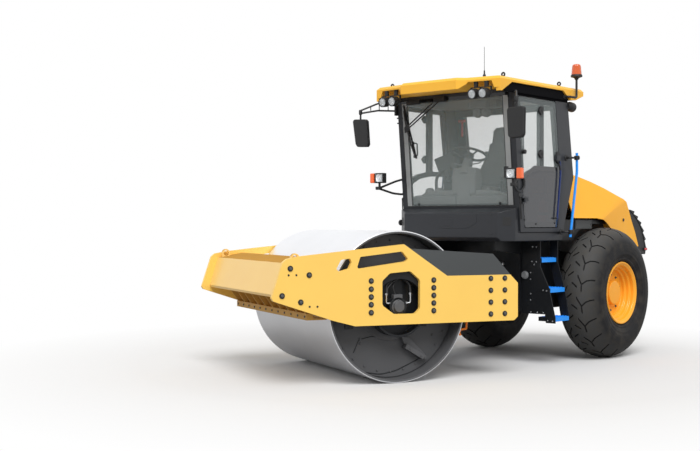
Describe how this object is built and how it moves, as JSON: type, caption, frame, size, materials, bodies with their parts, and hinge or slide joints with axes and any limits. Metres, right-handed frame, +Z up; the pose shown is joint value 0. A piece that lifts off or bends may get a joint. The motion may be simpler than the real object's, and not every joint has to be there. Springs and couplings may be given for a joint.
{
  "type": "single-drum soil roller",
  "caption": "Articulated soil roller with a smooth vibrating drum, side plates, glazed cab, rear hood and large rear tyres.",
  "frame": {"origin": "on the ground, in the middle of the parked machine's plan", "axes": "+X forward along the rear frame, +Y left, +Z up; the front frame is parked 24 degrees to the right"},
  "size_m": [6.1024, 3.3539, 3.4789],
  "materials": {
    "yellow": "gloss",
    "rim_yellow": "gloss",
    "dark_grey": "satin",
    "black": "satin",
    "black_plastic": "matt",
    "drum_steel": "satin",
    "chrome": "polished",
    "glass": "gloss",
    "amber": "gloss",
    "blue": "gloss",
    "seat_fabric": "matt",
    "tyre": "matt"
  },
  "bodies": {
    "rear_chassis": {"rear_frame": "black", "rear_axle": "black", "engine_block": "black", "rear_ballast": "black", "mudguards": "dark_grey", "ladders": "black", "cab_base": "dark_grey", "cab_frame": "dark_grey", "windscreen": "glass", "rear_window": "glass", "roof": "yellow", "work_lamps": "black_plastic", "side_lamps": "black_plastic", "mirrors": "black_plastic", "beacon": "amber", "aerial": "black_plastic", "wiper": "black_plastic", "grab_rails": "blue", "seat_base": "black_plastic", "seat_cushion": "seat_fabric", "seat_back": "seat_fabric", "steering_column": "black_plastic", "dashboard": "black_plastic"},
    "front_frame": {"side_plate_left": "yellow", "side_plate_right": "yellow", "front_beam": "yellow", "rear_beam": "yellow", "steering_yoke": "black", "drum_carriers": "dark_grey", "scrapers": "yellow"},
    "drum": {"drum": "drum_steel"},
    "wheel_left": {"tyre_left": "tyre", "rim_left": "rim_yellow"},
    "wheel_right": {"tyre_right": "tyre", "rim_right": "rim_yellow"},
    "door_left": {"door_left": "dark_grey", "door_glass_left": "glass"},
    "door_right": {"door_right": "dark_grey", "door_glass_right": "glass"},
    "hood": {"hood": "yellow", "rear_grille": "black_plastic"},
    "cylinder_barrel_left": {"cylinder_barrel_left": "black"},
    "cylinder_rod_left": {"cylinder_rod_left": "chrome"},
    "cylinder_barrel_right": {"cylinder_barrel_right": "black"},
    "cylinder_rod_right": {"cylinder_rod_right": "chrome"}
  },
  "joints": [
    {"name": "steering", "type": "hinge", "parent": "rear_chassis", "child": "front_frame", "pos_m": [0, 0.50936, 0.82], "axis": [0, 0, 1], "range_deg": [-11, 59]},
    {"name": "drum_spin", "type": "hinge", "parent": "front_frame", "child": "drum", "pos_m": [1.32464, -0.08041, 0.7615], "axis": [0.4067, 0.9135, 0], "continuous": true},
    {"name": "wheel_left_spin", "type": "hinge", "parent": "rear_chassis", "child": "wheel_left", "pos_m": [-1.62, 1.33136, 0.772], "axis": [0, 1, 0], "continuous": true},
    {"name": "wheel_right_spin", "type": "hinge", "parent": "rear_chassis", "child": "wheel_right", "pos_m": [-1.62, -0.31264, 0.772], "axis": [0, 1, 0], "continuous": true},
    {"name": "door_left_hinge", "type": "hinge", "parent": "rear_chassis", "child": "door_left", "pos_m": [0.17404, 1.32936, 2.3], "axis": [-0.0952, 0, -0.9955], "range_deg": [0, 90]},
    {"name": "door_right_hinge", "type": "hinge", "parent": "rear_chassis", "child": "door_right", "pos_m": [0.17404, -0.31064, 2.3], "axis": [0.0952, 0, 0.9955], "range_deg": [0, 90]},
    {"name": "hood_hinge", "type": "hinge", "parent": "rear_chassis", "child": "hood", "pos_m": [-0.975, 0.50936, 2.175], "axis": [0, 1, 0], "range_deg": [0, 50]},
    {"name": "cylinder_left_swing", "type": "hinge", "parent": "rear_chassis", "child": "cylinder_barrel_left", "pos_m": [-0.75, 0.78936, 0.67], "axis": [0, 0, 1], "range_deg": [-1.47, 6.6]},
    {"name": "cylinder_left_stroke", "type": "slide", "parent": "cylinder_barrel_left", "child": "cylinder_rod_left", "axis": [0.9977, -0.0678, 0], "range_m": [-0.2803, 0.0539]},
    {"name": "cylinder_right_swing", "type": "hinge", "parent": "rear_chassis", "child": "cylinder_barrel_right", "pos_m": [-0.75, 0.22936, 0.67], "axis": [0, 0, 1], "range_deg": [-1.47, 6.56]},
    {"name": "cylinder_right_stroke", "type": "slide", "parent": "cylinder_barrel_right", "child": "cylinder_rod_right", "axis": [0.9997, -0.0226, 0], "range_m": [-0.0537, 0.2791]}
  ],
  "couplings": [
    {"joint": "cylinder_left_swing", "follows": "steering", "ratio": 0.1067},
    {"joint": "cylinder_left_stroke", "follows": "steering", "m_per_rad": -0.2703},
    {"joint": "cylinder_right_swing", "follows": "steering", "ratio": 0.1061},
    {"joint": "cylinder_right_stroke", "follows": "steering", "m_per_rad": 0.2691}
  ]
}
